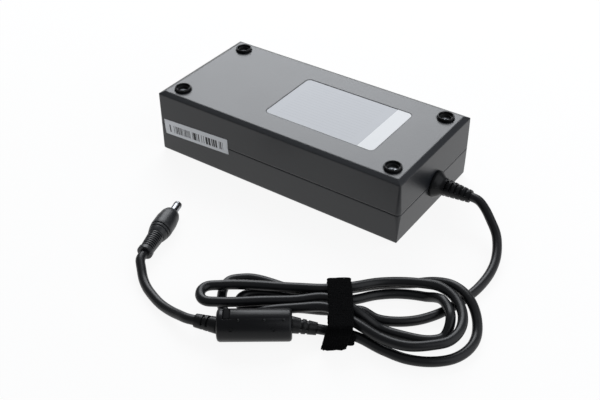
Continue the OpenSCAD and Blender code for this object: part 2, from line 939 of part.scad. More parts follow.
coil_d = 9;
coil_h = 14;
module output_inductor() {
    color("#a85c2c")
        translate([can_x, core_y - can_step, board_top])
            cylinder(h = coil_h, d = coil_d);
}

chip = [9.6, 6.4, 3.4];
module controller_chip() {
    color("#222326")
        block(chip_x, front_row, board_top, chip);
}

opto = [6.5, 4.6, 3.5];
module optocoupler() {
    color("#e8e6e0")
        block(opto_x, front_row, board_top, opto);
}

disc_d = 9;
disc_t = 4;
module safety_capacitor() {
    color("#3a6fb0")
        translate([safety_x, back_row, board_top + disc_d / 2 + rest])
            rotate([90, 0, 0])
                cylinder(h = disc_t, d = disc_d);
}

wire_x = half_l - low_wall - inner_flange_t;
module output_wires() {
    color("#8c1f1f")
        for (side = [-1, 1])
            translate([wire_x, side * wire_y, exit_z])
                union() {
                    rod(-wire_reach, 0, wire_d);
                    translate([-wire_reach, 0, 0])
                        sphere(d = wire_d);
                    translate([-wire_reach, 0, board_top - exit_z])
                        cylinder(h = exit_z - board_top, d = wire_d);
                }
}

// ---- Output cord --------------------------------------------------------------
module strain_relief() {
    root = relief_root_d / 2;
    tip = relief_tip_d / 2;
    collar = collar_d / 2;
    color("#222327")
        translate([half_l, 0, exit_z])
            difference() {
                turned_solid([
                    [-low_wall - inner_flange_t, 0], [-low_wall - inner_flange_t, inner_flange_d / 2],
                    [-low_wall, inner_flange_d / 2], [-low_wall, neck_d / 2], [0, neck_d / 2],
                    [0, collar], [1.4, collar], [3, collar - 0.9], [4.4, collar - 2],
                    [collar_t, root], [relief_l, tip], [relief_l, 0]
                ]);
                rib_cuts(collar_t + 1.8, 3, 6, 1.3, cord_d + 0.8, 2.6);
            }
}

module cord_lead() {
    color("#232428")
        tube(lead_route, cord_r, cord_sides);
}

module cord_hank() {
    color("#232428")
        on_hank()
            tube(hank_route, cord_r, hank_sides);
}

// The tie goes once round the cords, and its end lies on its near side
tie_near = on_run(near_runs[hank_loops], tie_w / 2).y - cord_r - tie_room;
tie_far = on_run(far_runs[hank_loops - 1], tie_w / 2).y + cord_r + tie_room;
tie_inner_h = tie_high - tie_low + cord_d + 2 * tie_room;
tie_slope = 5;       // the far side leans in by this towards the top
tie_corner = 2.8;
tail_l = 13.5;
tail_shift = -3.5;
module tie_outline(grow) {
    offset(tie_corner + grow)
        offset(delta = -tie_corner)
            polygon([
                [tie_near, 0], [tie_far, 0], [tie_far - tie_slope, tie_inner_h],
                [tie_near, tie_inner_h]
            ]);
}

module cord_tie() {
    low = 0.05;
    color("#17181a")
        on_hank()
            union() {
                translate([0, 0, low + tie_t])
                    along_x(tie_w)
                        difference() {
                            tie_outline(tie_t);
                            tie_outline(0);
                        }
                block(tail_shift, tie_near - 1.5 * tie_t, low, [tail_l, tie_t, tie_inner_h + tie_t]);
            }
}

// ---- Noise filter ----------------------------------------------------------------
core_length = 26;
core_start = 4;
end_round = 1.5;
latch_w = 3.5;
latch_x = filter_l - 5;
latch_deep = 2.2;
module filter_cover() {
    r = filter_d / 2;
    color("#2b2d31")
        on_filter()
            difference() {
                turned_solid([
                    [0, 0], [0, r - end_round], [end_round * 0.3, r - end_round * 0.3], [end_round, r],
                    [filter_l - end_round, r], [filter_l - end_round * 0.3, r - end_round * 0.3],
                    [filter_l, r - end_round], [filter_l, 0]
                ]);
                rod(core_start - fit, core_start + core_length + fit, filter_d - 2.6);
                rod(-over, filter_l + over, cord_d + 2 * snug);
                block(latch_x, 0, r - latch_deep, [latch_w, 7, latch_deep + over]);
            }
}

module filter_core() {
    color("#4a4b4e")
        on_filter()
            difference() {
                rod(core_start, core_start + core_length, filter_d - 3);
                rod(core_start - over, core_start + core_length + over, cord_d + 1.2);
            }
}

module cord_in_filter() {
    color("#232428")
        on_filter()
            rod(0, filter_l, cord_d);
}

// A relief leaves the filter's end at an angle and meets it on a flat face
module filter_relief(length, d0, d1, turn, drop) {
    difference() {
        rotate([0, drop, turn])
            difference() {
                turned_solid([[-over, 0], [-over, d0 / 2], [length, d1 / 2], [length, 0]]);
                rib_cuts(length * 0.3, length * 0.25, 2, length * 0.1, cord_d + 0.6, 2);
            }
        block(-case_h / 2, 0, -case_h / 2, [case_h, case_h, case_h]);
    }
}

module filter_relief_right() {
    way = exit_point(exit_p) - exit_point(filter_p);
    color("#26272b")
        on_hank()
            translate(filter_start)
                filter_relief(norm(way), 8.6, 6.4, atan2(way.y, way.x), -asin(way.z / norm(way)));
}

module filter_relief_left() {
    color("#26272b")
        on_hank()
            translate([filter_end, filter_q, filter_z])
                rotate([0, 0, 180])
                    filter_relief(left_l, 8.6, 7, left_turn - 180, left_drop);
}

module cord_end() {
    color("#232428")
        tube(end_route, cord_r, cord_sides);
}

// ---- Plug ---------------------------------------------------------------------------
collar_l = 2.4;
module plug_sleeve() {
    color("#222327")
        on_plug()
            difference() {
                turned_solid([
                    [0, 0], [0, 4], [0.4, 4.4], [collar_l, 4.4], [collar_l, 3.9],
                    [sleeve_l, 4.6], [sleeve_l, 0]
                ]);
                rib_cuts(collar_l + 0.8, 1.45, 8, 0.7, cord_d + 0.8, 2);
            }
}

module plug_grip() {
    r = grip_d / 2;
    end = plug_end;
    groove_r = r - 0.85;
    color("#26272b")
        on_plug()
            difference() {
                turned_solid([
                    [sleeve_l, 0], [sleeve_l, 4.8], [sleeve_l + 1.5, 5.3], [sleeve_l + 4, r - 0.4],
                    [sleeve_l + 7, r], [end - 7, r - 0.1], [end - 2, r - 0.8], [end, r - 1.6], [end, 0]
                ]);
                for (x = [3, 5])
                    translate([sleeve_l + x, 0, 0])
                        difference() {
                            rod(0, 0.7, 2 * grip_d);
                            rod(-over, over, 2 * groove_r);
                        }
                rod(barrel_start, end + over, barrel_d - barrel_step + 2 * snug);
            }
}

barrel_t = 0.45;
barrel_step = 0.2;
contact_t = 0.3;
tip_ring = 0.6;
barrel_bed = 3;
plug_end = sleeve_l + grip_l;
barrel_end = plug_end + barrel_l - tip_ring;
barrel_start = plug_end - barrel_bed;

module plug_barrel() {
    color("#c8cacd")
        on_plug()
            difference() {
                union() {
                    rod(barrel_start, barrel_end, barrel_d - barrel_step);
                    rod(plug_end, barrel_end, barrel_d);
                }
                rod(barrel_start - over, barrel_end + over, barrel_d - 2 * barrel_t);
            }
}

module plug_insulator() {
    color("#111214")
        on_plug()
            difference() {
                union() {
                    rod(barrel_start, barrel_end + tip_ring, barrel_d - 2 * barrel_t - 2 * snug);
                    rod(barrel_end, barrel_end + tip_ring, barrel_d - barrel_step);
                }
                rod(barrel_start - over, barrel_end + 2 * tip_ring, plug_bore_d + 2 * contact_t + 2 * snug);
            }
}

module plug_contact() {
    color("#c9a860")
        on_plug()
            difference() {
                rod(barrel_start, barrel_end, plug_bore_d + 2 * contact_t);
                rod(barrel_start + over, barrel_end + over, plug_bore_d);
            }
}

case_bottom();
case_top();
foot_front_left();
foot_front_right();
foot_back_left();
foot_back_right();
case_screws();
label_sheet();
label_strip();
barcode_sticker();
inlet_housing();
inlet_blade_line();
inlet_blade_neutral();
inlet_blade_earth();
circuit_board();
insulation_sheet();
mains_fuse();
mains_capacitor();
choke_core();
choke_windings();
bridge_rectifier();
reservoir_capacitor();
switching_transistor();
primary_heat_sink();
transformer_core();
transformer_winding();
output_diode();
secondary_heat_sink();
output_capacitor_a();
output_capacitor_b();
output_inductor();
controller_chip();
optocoupler();
safety_capacitor();
output_wires();
strain_relief();
cord_lead();
cord_hank();
cord_tie();
filter_relief_right();
filter_cover();
filter_core();
cord_in_filter();
filter_relief_left();
cord_end();
plug_sleeve();
plug_grip();
plug_barrel();
plug_insulator();
plug_contact();
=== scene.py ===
# %% [markdown]
# # Dressing a laptop power adapter
# The solids of this adapter are already made, in metres, at their real size and place. This
# lesson dresses them: a camera, one long cord tied in a hank, soft studio light, a finish for
# each material, and the pieces whose form is richer than their solid.

# %% Load the solids
import math
import random

import bmesh
import bpy
from mathutils import Matrix, Vector


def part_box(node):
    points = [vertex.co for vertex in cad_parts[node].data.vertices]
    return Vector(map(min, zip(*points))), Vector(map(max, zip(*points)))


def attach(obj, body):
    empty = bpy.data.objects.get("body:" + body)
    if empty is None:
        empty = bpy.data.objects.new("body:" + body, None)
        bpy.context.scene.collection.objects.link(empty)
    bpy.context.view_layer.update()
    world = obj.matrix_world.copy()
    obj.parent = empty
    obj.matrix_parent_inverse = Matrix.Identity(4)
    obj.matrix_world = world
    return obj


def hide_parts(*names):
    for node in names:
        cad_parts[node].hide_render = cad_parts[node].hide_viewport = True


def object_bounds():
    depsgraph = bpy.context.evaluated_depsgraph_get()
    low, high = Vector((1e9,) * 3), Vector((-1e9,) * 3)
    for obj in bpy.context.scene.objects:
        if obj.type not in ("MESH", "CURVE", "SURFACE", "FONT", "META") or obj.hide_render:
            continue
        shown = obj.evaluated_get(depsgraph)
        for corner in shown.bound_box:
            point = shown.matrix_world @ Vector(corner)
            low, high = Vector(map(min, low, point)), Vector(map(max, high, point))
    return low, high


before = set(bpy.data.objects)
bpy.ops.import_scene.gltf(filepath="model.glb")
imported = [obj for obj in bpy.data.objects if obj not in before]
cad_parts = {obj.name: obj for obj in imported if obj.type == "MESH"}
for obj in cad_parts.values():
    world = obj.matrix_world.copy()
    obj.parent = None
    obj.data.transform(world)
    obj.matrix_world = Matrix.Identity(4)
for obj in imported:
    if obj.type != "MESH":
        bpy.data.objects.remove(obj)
solid_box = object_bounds()
scene = bpy.context.scene
bpy.ops.object.select_all(action="DESELECT")
box_size = [round(1000 * (high - low), 1) for low, high in zip(*solid_box)]
print(len(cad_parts), "solids in a box of", box_size, "mm")

# %% [markdown]
# ## Millimetres and colours
# Sizes are easier to check in millimetres, so one factor turns them to metres. Colours are
# written as the hex values that a screen shows, and one function turns them to the linear
# values that light works with.

# %% Units and colour
MM = 0.001


def colour(hex_code):
    """An sRGB hex value as linear red, green, blue and alpha."""
    parts = [int(hex_code[i : i + 2], 16) / 255 for i in (1, 3, 5)]
    return [c / 12.92 if c <= 0.04045 else ((c + 0.055) / 1.055) ** 2.4 for c in parts] + [1.0]


print("mid grey #808080 is", round(colour("#808080")[0], 3), "linear")

# %% [markdown]
# ## Camera
# A product shot from above and in front. The place of the camera, the way it looks and the way
# that points to its right are fixed here, and the third way, up, follows from these two.
# Blender's camera looks along its own -Z, with +Y up, so the three ways are the columns of its
# matrix.

# %% Camera
CAMERA_PLACE = Vector((272.02, -403.36, 337.08))
look = Vector((-0.455528, 0.654804, -0.603097))
right = Vector((0.822474, 0.568791, -0.003669))
camera_data = bpy.data.cameras.new("camera")
camera_data.sensor_width = 36
camera_data.lens = 56.789
camera_data.clip_start = 0.05
camera = bpy.data.objects.new("camera", camera_data)
scene.collection.objects.link(camera)
up = right.cross(look).normalized()
turn = Matrix((right.normalized(), up, -look.normalized())).transposed()
camera.matrix_world = Matrix.Translation(CAMERA_PLACE * MM) @ turn.to_4x4()
scene.camera = camera
print("camera looks down by", round(math.degrees(math.asin(-look.z)), 1), "degrees")

# %% [markdown]
# ## Where the cord runs
# The cord is 5.2 mm thick. It leaves the case, falls to the table, and is wound three times to
# and fro under a tie. Then it goes through the noise filter and curves back to its plug. The
# hank has its own axis: p runs along it and q across it. Each of its loops is a near run, a
# left turn, a far run and a right turn. The runs are tables of (p, q, height), and the turns are
# half circles, stretched to join the runs. Two layers of cord lie on each other, and both are
# raised a little where the tie goes round them. So the middle of a cord has four usual heights:
# LIE on the table, UPPER on another cord, and TIE_LOW and TIE_HIGH in the tie.

# %% Runs of the hank
CORD_D = 5.2
CORD_R = CORD_D / 2
LIE = CORD_R + 0.05
UPPER = LIE + 6
LAYER_GAP = 0.45
TIE_T = 1.5
TIE_ROOM = 0.4
TIE_LOW = LIE + TIE_T + TIE_ROOM
TIE_HIGH = TIE_LOW + CORD_D + LAYER_GAP
NEAR_RUNS = [
    [(-45, 3.7, LIE), (-22, 4.2, 2.8), (-7, 0.4, TIE_LOW), (7, 0.2, TIE_LOW)],
    [(-62, 2.9, UPPER), (-22, 3.8, UPPER), (-7, 3.8, TIE_HIGH), (7, -5.4, TIE_HIGH),
     (20, -11.4, 2.9), (30, -16.1, 2.9), (46, -19, LIE)],
    [(-50, -1.8, 2.8), (-38, -2.1, 6.9), (-22, -2, UPPER), (-7, -3.2, TIE_HIGH),
     (7, -14.4, TIE_HIGH), (20, -24.2, UPPER), (30, -28.6, UPPER), (44, -28, UPPER)],
    [(-7, -13.8, TIE_LOW), (7, -18, TIE_LOW), (20, -25.6, LIE), (30, -31.2, LIE), (44, -33.4, LIE)],
]  # fmt: skip
FAR_RUNS = [
    [(-45, 15.3, LIE), (-22, 10.8, 2.8), (-7, 7.2, TIE_LOW), (7, 8, TIE_LOW),
     (20, 13.4, 2.8), (40, 13.1, LIE)],
    [(-62, 15.3, UPPER), (-22, 13, UPPER), (-7, 10.3, TIE_HIGH), (7, 11.8, TIE_HIGH),
     (20, 16.4, UPPER), (30, 17.8, UPPER), (44, 14.8, 9.2)],
    [(-50, 27, 2.8), (-38, 23, LIE), (-22, 17.5, 2.9), (-7, 13.6, TIE_LOW), (7, 16.5, TIE_LOW),
     (20, 20.6, 3.3), (40, 21.9, 3.1)],
]  # fmt: skip
print("the tie holds the cords at heights of", round(TIE_LOW, 2), "and", round(TIE_HIGH, 2), "mm")

# %% [markdown]
# ## Turns of the hank
# On the left the cord folds back tightly, and on the right it opens into wide lobes. Each fold
# has its p, its reach to the left and a power that squares it off. Each lobe has the p where it
# leaves its far run, the p where it joins the next near run, and its reach to the right. Where a
# lobe crosses the lead it is lifted over it: a crossing is a table of (step of the turn, share of
# the lift). The stops are the places between the turns where a run gets its points.

# %% Turns of the hank
FOLDS = [(-45, 6.4, 1), (-62, 9, 0.5), (-50, 10.4, 0.5)]
LOBES = [(40, 46, 11.1), (44, 44, 16.5), (40, 44, 25.9)]
CROSSINGS = [[(1, 0), (3, 1), (5, 1), (7, 0)], [(0, 0)], [(0, 0), (2, 1), (3, 1), (5, 0)]]
CROSSING_LIFT = 5.7
FOLD_STEPS, LOBE_STEPS = 6, 8
NEAR_STOPS, FAR_STOPS, AFTER_STOPS = (7, -7, -22, -38), (-22, -7, 7, 20), (30, 20)


def lookup(x, table, column=1):
    """The value at x in a column of a table, straight between its rows."""
    if x <= table[0][0]:
        return table[0][column]
    for low, high in zip(table, table[1:]):
        if x <= high[0]:
            return low[column] + (high[column] - low[column]) * (x - low[0]) / (high[0] - low[0])
    return table[-1][column]


def on_run(run, p):
    """A point of a run, as p, q and height."""
    return Vector((p, lookup(p, run), lookup(p, run, 2)))


def turn_between(start, end, reach, steps, power, crossing):
    """The points of a turn from one run to the next, without its ends."""
    points = []
    for i in range(1, steps):
        angle = math.pi * i / steps
        out = Vector((reach * math.sin(angle) ** power, 0, CROSSING_LIFT * lookup(i, crossing)))
        points.append(start + (end - start) * (1 - math.cos(angle)) / 2 + out)
    return points


print("the left turns start", [-fold[0] for fold in FOLDS], "mm left of the tie")

# %% The hank's points
CASE_END_X = 85.75
HANK = Vector((CASE_END_X + 4.4, -107.2, 0))
TURN = math.radians(35)


def turned(v):
    """A vector of the hank's own axes, turned to the adapter's."""
    x = v.x * math.cos(TURN) - v.y * math.sin(TURN)
    y = v.x * math.sin(TURN) + v.y * math.cos(TURN)
    return Vector((x, y, v.z))


def in_world(v):
    """A point of the hank's own axes, in the adapter's."""
    return HANK + turned(v)


hank = []
for k, crossing in enumerate(CROSSINGS):
    near, far, after = NEAR_RUNS[k], FAR_RUNS[k], NEAR_RUNS[k + 1]
    fold_p, fold_reach, fold_power = FOLDS[k]
    lobe_start, lobe_end, lobe_reach = LOBES[k]
    fold = [on_run(near, fold_p), on_run(far, fold_p)]
    lobe = [on_run(far, lobe_start), on_run(after, lobe_end)]
    hank += [on_run(near, p) for p in NEAR_STOPS] + fold[:1]
    hank += turn_between(*fold, -fold_reach, FOLD_STEPS, fold_power, [(0, 0)]) + fold[1:]
    hank += [on_run(far, p) for p in FAR_STOPS] + lobe[:1]
    hank += turn_between(*lobe, lobe_reach, LOBE_STEPS, 1, crossing) + lobe[1:]
    hank += [on_run(after, p) for p in AFTER_STOPS]
hank += [on_run(NEAR_RUNS[-1], p) for p in NEAR_STOPS[:2]]
print(len(hank), "points, the first at", [round(c, 1) for c in in_world(hank[0])])

# %% [markdown]
# ## Filter, plug and the whole route
# From the tie the cord goes straight to the filter, through it, and out of its left relief,
# which points outwards and a little down. It ends in the plug, which lies on the table in front
# of the case. The two free stretches, from the case to the hank and from the filter to the plug,
# are listed points. The first list counts from the tip of the case's strain relief, and
# the second from the output end of the case. Next to the hank, the filter and the plug the cord
# has a short straight run.

# %% Filter and plug
FILTER_D, FILTER_L = 16.4, 37
FILTER_R = FILTER_D / 2
filter_in = Vector((-24, -13.4, FILTER_R))
filter_out = filter_in - Vector((FILTER_L, 0, 0))
HANK_END_P = -12
exit_point = hank[-1].lerp(filter_in, (hank[-1].x - HANK_END_P) / (hank[-1].x - filter_in.x))
RELIEF_TURN, RELIEF_DROP = math.radians(158), math.radians(4)
RELIEF_L = 11.5
level = math.cos(RELIEF_DROP)
relief_way = Vector((math.cos(RELIEF_TURN) * level, math.sin(RELIEF_TURN) * level, -math.sin(RELIEF_DROP)))
relief_tip = filter_out + RELIEF_L * relief_way
GRIP_D = 12.6
plug_at = Vector((CASE_END_X - 105.9, -130.8, GRIP_D / 2))
PLUG_TURN = math.radians(107)
plug_way = Vector((math.cos(PLUG_TURN), math.sin(PLUG_TURN), 0))
print("the plug starts at", [round(c, 1) for c in plug_at], "mm")

# %% The whole route
STRAIN_RELIEF_L = 22.5
CORD_EXIT_X = CASE_END_X + STRAIN_RELIEF_L
STRAIGHT = CORD_D
HANK_RUN_IN = 3.4
lead_points = [
    (0, 0, 17.8), (4.6, -0.2, 17.6), (10.2, -2.8, 15.8), (16.1, -6.7, 12.4), (21.9, -11.3, 8.9),
    (26.2, -18, 5.9), (29.3, -26, 3.9), (31, -35, 2.9), (31.4, -44, LIE), (30.8, -53, LIE),
    (29, -62, LIE), (26.4, -71, LIE), (22.4, -80.6, LIE), (16, -89.8, LIE), (8.6, -96, LIE),
    (-0.9, -100.4, 3),
]  # fmt: skip
end_points = [
    (-59, -156.2, 5.7), (-67, -155, 3.8), (-75.3, -153.3, 2.9), (-82.2, -150.9, LIE), (-88.9, -148, LIE),
    (-94.7, -144.4, 3.2), (-100.6, -139.3, 5),
]  # fmt: skip


def length_of(points):
    """The length of the straight line from point to point."""
    return sum((b - a).length for a, b in zip(points, points[1:]))


entry_slope = (hank[1].y - hank[0].y) / (hank[1].x - hank[0].x)
through_filter = [exit_point, filter_in, filter_out, relief_tip, relief_tip + STRAIGHT * relief_way]
route = [Vector(v) + Vector((CORD_EXIT_X, 0, 0)) for v in lead_points]
route += [in_world(hank[0] + HANK_RUN_IN * Vector((1, entry_slope, 0)))]
route += [in_world(v) for v in hank + through_filter]
route += [Vector(v) + Vector((CASE_END_X, 0, 0)) for v in end_points]
route += [plug_at - STRAIGHT * plug_way, plug_at]
print(len(route), "points,", round(length_of(route)), "mm of cord")

# %% [markdown]
# ## Making the cord
# A cord is one smooth line with a round section. The route's points stand far apart on straight
# stretches and close together in bends, so each point gets the slope of its two neighbours,
# weighed by how near they are, and short curved pieces between them are drawn with many points.
# A last step takes the small kinks out by moving each point a little towards the middle of its
# neighbours. The result is one open curve, and the radius of its points gives it its thickness:
# Blender adds that radius, in metres, to the curve's box, so it has to be the real one.


# %% Smooth line
def smoothed(points, step):
    """Points about step apart, on a smooth line through the given points."""
    gaps = [(b - a).length for a, b in zip(points, points[1:])]
    slopes = [(b - a) / h for a, b, h in zip(points, points[1:], gaps)]
    ways = [slopes[0]]
    for i in range(1, len(points) - 1):
        ways.append((gaps[i] * slopes[i - 1] + gaps[i - 1] * slopes[i]) / (gaps[i - 1] + gaps[i]))
    ways.append(slopes[-1])
    line = []
    for i, h in enumerate(gaps):
        count = max(1, round(h / step))
        for j in range(count):
            t = j / count
            line.append(
                (2 * t**3 - 3 * t**2 + 1) * points[i]
                + (t**3 - 2 * t**2 + t) * h * ways[i]
                + (3 * t**2 - 2 * t**3) * points[i + 1]
                + (t**3 - t**2) * h * ways[i + 1]
            )
    return line + [points[-1]]


LINE_STEP, SMOOTHING_PASSES = 1.0, 4
line = [Vector((v.x, v.y, max(v.z, LIE))) * MM for v in smoothed(route, LINE_STEP)]
for _ in range(SMOOTHING_PASSES):
    line[1:-1] = [(a + 2 * b + c) / 4 for a, b, c in zip(line, line[1:], line[2:])]
print(len(line), "points on the smooth line,", round(length_of(line), 4), "m")

# %% The cord's curve
cord_curve = bpy.data.curves.new("output_cord", "CURVE")
cord_curve.dimensions = "3D"
cord_curve.bevel_depth = 1.0
cord_curve.bevel_resolution = 5
cord_curve.use_fill_caps = True
spline = cord_curve.splines.new("POLY")
spline.points.add(len(line) - 1)
for place, v in zip(spline.points, line):
    place.co = (*v, 1)
    place.radius = CORD_R * MM
spline.use_smooth = True
output_cord = bpy.data.objects.new("output_cord", cord_curve)
scene.collection.objects.link(output_cord)
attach(output_cord, "root")
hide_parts("cord_lead", "cord_hank", "cord_in_filter", "cord_end")
lowest = min(v.z for v in line) / MM - CORD_R
print("the cord's lowest point is", round(lowest, 2), "mm above the table")

# %% [markdown]
# ## Table and light
# The adapter stands on a plain white table, so wide that no edge of it shows. Seen by the camera
# or in a reflection the table is nearly plain white, and a small share of it takes the light,
# which keeps the soft shadow. The lamps stay weak, so that each colour shows about as it is
# written. A large soft light stands high behind the adapter and slides along its top as a pale
# sheen, as it does in a studio. A larger and weaker one stands to the right.


# %% Helper for nodes
def add(tree, kind, settings=None, **links):
    """Adds a node with its settings, and links or sets its inputs by name, or by number as i0."""
    node = tree.nodes.new(kind)
    for key, value in (settings or {}).items():
        setattr(node, key, value)
    for key, value in links.items():
        name = key.replace("_", " ")
        socket = node.inputs[int(key[1:])] if key[0] == "i" and key[1:].isdigit() else node.inputs[name]
        if isinstance(value, bpy.types.NodeSocket):
            tree.links.new(value, socket)
        else:
            socket.default_value = value
    return node


def new_material(name):
    """A material with an empty node tree, and that tree."""
    material = bpy.data.materials.new(name)
    material.use_nodes = True
    tree = material.node_tree
    tree.nodes.clear()
    return material, tree


print("helpers ready")

# %% Table
TABLE_SIZE = 12
TABLE_DROP = 0.2
PLAIN_WHITE_SHARE = 0.9
bpy.ops.mesh.primitive_plane_add(size=TABLE_SIZE, location=(0, 0, -TABLE_DROP * MM))
table = bpy.context.object
table.name = "table"
white, tree = new_material("table_white")
ray = add(tree, "ShaderNodeLightPath")
seen, mirrored = ray.outputs["Is Camera Ray"], ray.outputs["Is Glossy Ray"]
shown = add(tree, "ShaderNodeMath", {"operation": "MAXIMUM"}, i0=seen, i1=mirrored)
share = add(tree, "ShaderNodeMath", {"operation": "MULTIPLY"}, i0=shown.outputs[0], i1=PLAIN_WHITE_SHARE)
matt = add(tree, "ShaderNodeBsdfDiffuse", Color=colour("#FBFBFB"))
glow = add(tree, "ShaderNodeEmission", Color=(1, 1, 1, 1), Strength=1.0)
both = add(tree, "ShaderNodeMixShader", Fac=share.outputs[0], i1=matt.outputs[0], i2=glow.outputs[0])
add(tree, "ShaderNodeOutputMaterial", Surface=both.outputs[0])
table.data.materials.append(white)
print("the table lies", TABLE_DROP, "mm under the adapter")

# %% World and lamps
COOL = (0.94, 0.965, 1.0, 1)
ROOM_STRENGTH = 0.3
world = bpy.data.worlds.new("studio")
scene.world = world
world.use_nodes = True
tree = world.node_tree
tree.nodes.clear()
seen = add(tree, "ShaderNodeLightPath").outputs["Is Camera Ray"]
room = add(tree, "ShaderNodeBackground", Color=COOL, Strength=ROOM_STRENGTH)
backdrop = add(tree, "ShaderNodeBackground", Color=(1, 1, 1, 1), Strength=1.0)
both = add(tree, "ShaderNodeMixShader", Fac=seen, i1=room.outputs[0], i2=backdrop.outputs[0])
add(tree, "ShaderNodeOutputWorld", Surface=both.outputs[0])


def soft_light(name, place, aim, size, watts):
    """A square soft light that points at aim."""
    data = bpy.data.lights.new(name, "AREA")
    data.color = COOL[:3]
    data.shape = "SQUARE"
    data.size = size
    data.energy = watts
    lamp = bpy.data.objects.new(name, data)
    lamp.location = place
    lamp.rotation_euler = (Vector(aim) - Vector(place)).to_track_quat("-Z", "Y").to_euler()
    scene.collection.objects.link(lamp)


soft_light("back_light", place=(-0.62, 0.88, 0.86), aim=(0, 0, 0.04), size=1.0, watts=17)
soft_light("side_light", place=(1.0, 0.15, 0.55), aim=(0.05, -0.05, 0.0), size=1.5, watts=8)
print("two lamps, in a room of strength", ROOM_STRENGTH)

# %% [markdown]
# ## The tie's path
# The tie is a hook-and-loop strap, 13 mm wide. It starts near the top of the near side, goes down
# it, under the cords, up the far side, which leans in, and over the top, and its end comes down
# outside the start, a little askew. So its path is one spiral of points in q and height, rounded
# at the corners, and the strap is a plane's edge extruded from point to point.

# %% Path of the tie
TIE_W = 13
TIE_LEAN = 5
TIE_START_DROP = 2.5
TIE_END_HEIGHT = 0.75
TIE_CORNER, TIE_CORNER_STEPS = 3.4, 5
TIE_STEP = 1.6
TIE_NEAR = on_run(NEAR_RUNS[-1], TIE_W / 2).y - CORD_R - TIE_ROOM
TIE_FAR = on_run(FAR_RUNS[-1], TIE_W / 2).y + CORD_R + TIE_ROOM
TIE_TOP = TIE_HIGH + CORD_R + TIE_ROOM
TIE_SLACK, TIE_END_SLACK = 0.05, 0.02
inner = TIE_T / 2 + TIE_SLACK
outer = 1.5 * TIE_T + TIE_END_SLACK
corners = [
    (TIE_NEAR - inner, TIE_TOP - TIE_START_DROP),
    (TIE_NEAR - inner, inner),
    (TIE_FAR + inner, inner),
    (TIE_FAR - TIE_LEAN + inner, TIE_TOP + inner),
    (TIE_NEAR - outer, TIE_TOP + inner),
    (TIE_NEAR - outer, TIE_END_HEIGHT),
]


def rounded(points, radius, steps):
    """A line through points given as (q, height), with its inner corners rounded."""
    points = [Vector(p) for p in points]
    path = [points[0]]
    for before, corner, after in zip(points, points[1:], points[2:]):
        start = corner + (before - corner).normalized() * radius
        end = corner + (after - corner).normalized() * radius
        for i in range(steps + 1):
            t = i / steps
            path.append((1 - t) ** 2 * start + 2 * t * (1 - t) * corner + t**2 * end)
    return path + [points[-1]]


def spaced(path, step):
    """The same line with points about step apart."""
    points = [path[0]]
    for a, b in zip(path, path[1:]):
        count = max(1, round((b - a).length / step))
        points += [a.lerp(b, (i + 1) / count) for i in range(count)]
    return points


tie_path = spaced(rounded(corners, TIE_CORNER, TIE_CORNER_STEPS), TIE_STEP)
print("the strap's path is", round(length_of(tie_path)), "mm long with", len(tie_path), "points")

# %% Extrude the strap
ASKEW = -0.34
ASKEW_POINTS = 13
bpy.ops.object.select_all(action="DESELECT")
bpy.ops.mesh.primitive_plane_add(size=1, location=(0, 0, 0))
tie = bpy.context.object
tie.name = "tie_strap"
bpy.ops.object.mode_set(mode="EDIT")
edit = bmesh.from_edit_mesh(tie.data)
for v in edit.verts:
    place = tie_path[0] if v.co.y < 0 else tie_path[1]
    v.co = Vector((v.co.x * TIE_W, place.x, place.y)) * MM
    v.select = place == tie_path[1]
edit.select_flush_mode()
edit.select_flush(True)
bmesh.update_edit_mesh(tie.data)
for i, (a, b) in enumerate(zip(tie_path[1:], tie_path[2:]), start=2):
    askew = ASKEW if len(tie_path) - i < ASKEW_POINTS else 0
    bpy.ops.mesh.extrude_region_move(
        TRANSFORM_OT_translate={"value": (askew * MM, (b.x - a.x) * MM, (b.y - a.y) * MM)}
    )
bpy.ops.mesh.select_all(action="SELECT")
bpy.ops.mesh.subdivide(number_cuts=1)
bpy.ops.object.mode_set(mode="OBJECT")
print("the strap has", len(tie.data.polygons), "faces before it gets its thickness")

# %% [markdown]
# ## Thickness and nap of the tie
# Brushed loop fabric has no sharp edge and no flat face. Solidify gives the strap its thickness,
# Subdivision Surface gives it enough points, and two displacements move them: a broad one for the
# limp fabric and a fine one for the nap. Its cut end is ragged, so the points near it are moved
# down and up by different amounts.

# %% Thickness and nap
STRAP_T = 1.2
NAP = ((9, 0.5), (1.1, 0.45))
bpy.context.view_layer.objects.active = tie


def applied(kind, **settings):
    """Adds a modifier to the tie, sets it and applies it."""
    modifier = tie.modifiers.new(kind.lower(), kind)
    for key, value in settings.items():
        setattr(modifier, key, value)
    bpy.ops.object.modifier_apply(modifier=modifier.name)


applied("SOLIDIFY", thickness=STRAP_T * MM, offset=0, use_even_offset=True)
applied("SUBSURF", levels=2, render_levels=2)
for size, strength in NAP:
    texture = bpy.data.textures.new("nap", "CLOUDS")
    texture.noise_scale = size * MM
    applied("DISPLACE", texture=texture, texture_coords="LOCAL", strength=strength * MM, mid_level=0.5)
print("the strap has", len(tie.data.polygons), "faces, in", len(NAP), "sizes of relief")

